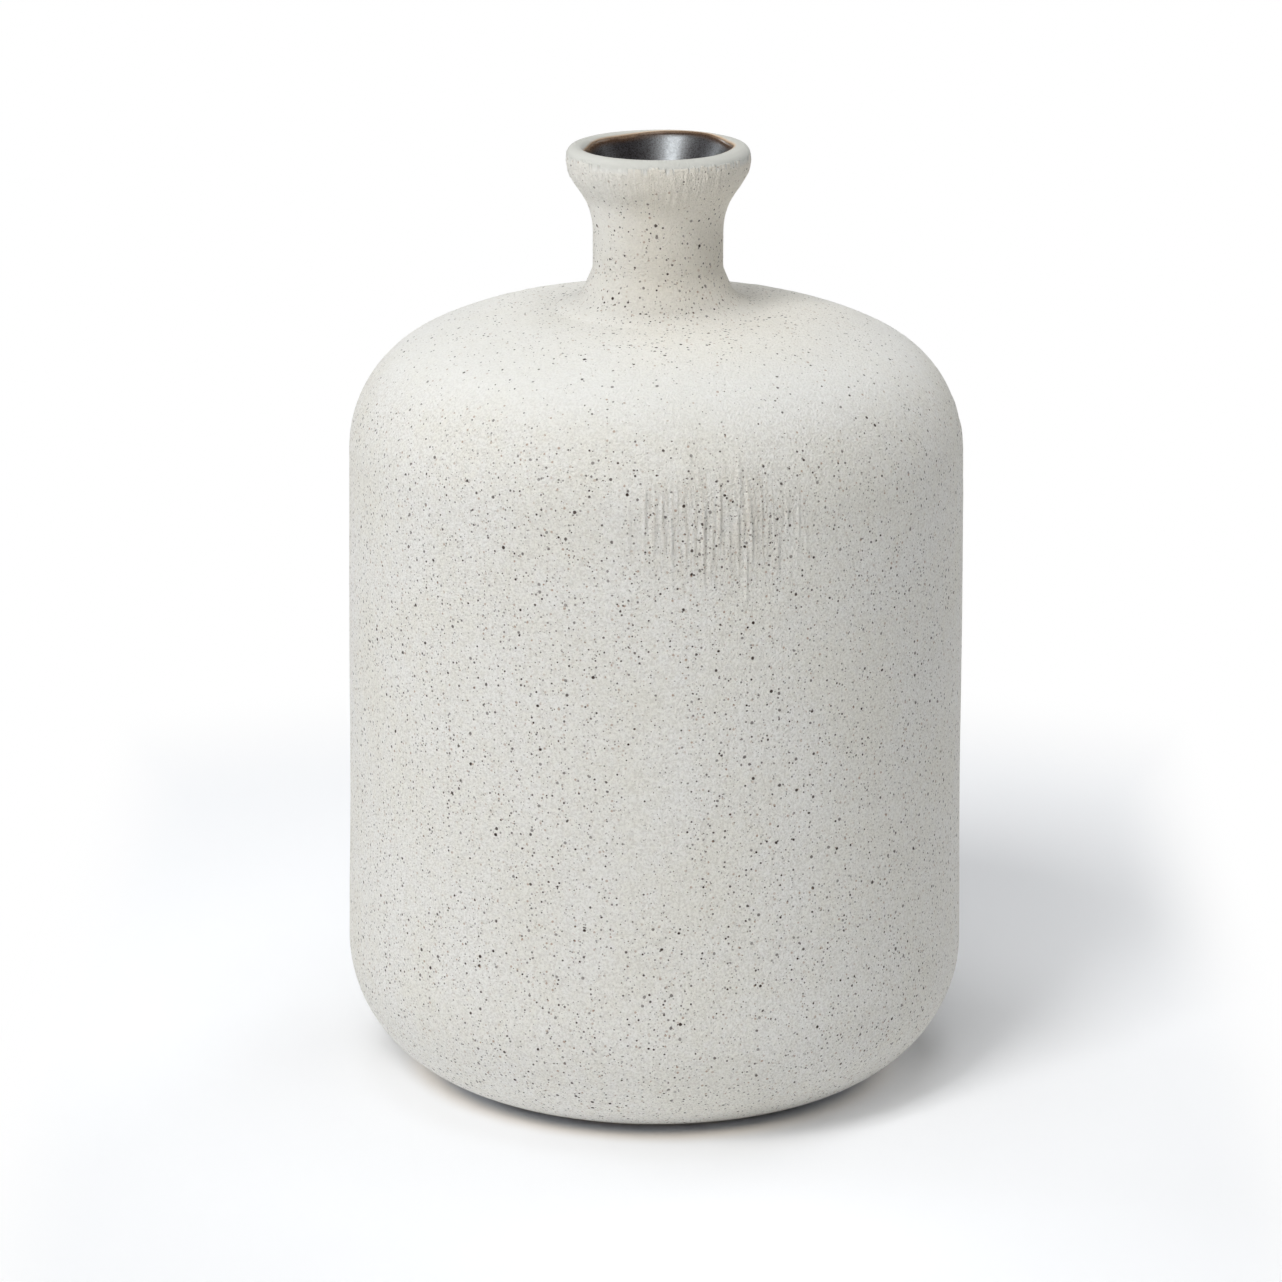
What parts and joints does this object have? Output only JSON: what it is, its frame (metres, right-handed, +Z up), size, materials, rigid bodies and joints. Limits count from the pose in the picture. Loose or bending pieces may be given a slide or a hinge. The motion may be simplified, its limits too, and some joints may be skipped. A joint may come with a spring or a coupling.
{
  "type": "bottle vase",
  "caption": "Round-shouldered stoneware bottle vase with a short narrow neck, a flared rounded lip, a hollow body and a low foot ring.",
  "frame": {"origin": "centre of the foot ring's resting face", "axes": "+Z up along the vase's axis of turning; the vase is round, so +X and +Y are free and the pictured side faces -Y"},
  "size_m": [0.14, 0.14, 0.2124],
  "materials": {
    "clay": "matte",
    "slip": "matte",
    "glaze": "gloss"
  },
  "bodies": {
    "root": {"stoneware_body": "clay", "slip_coat": "slip", "glaze_lining": "glaze"}
  },
  "joints": []
}
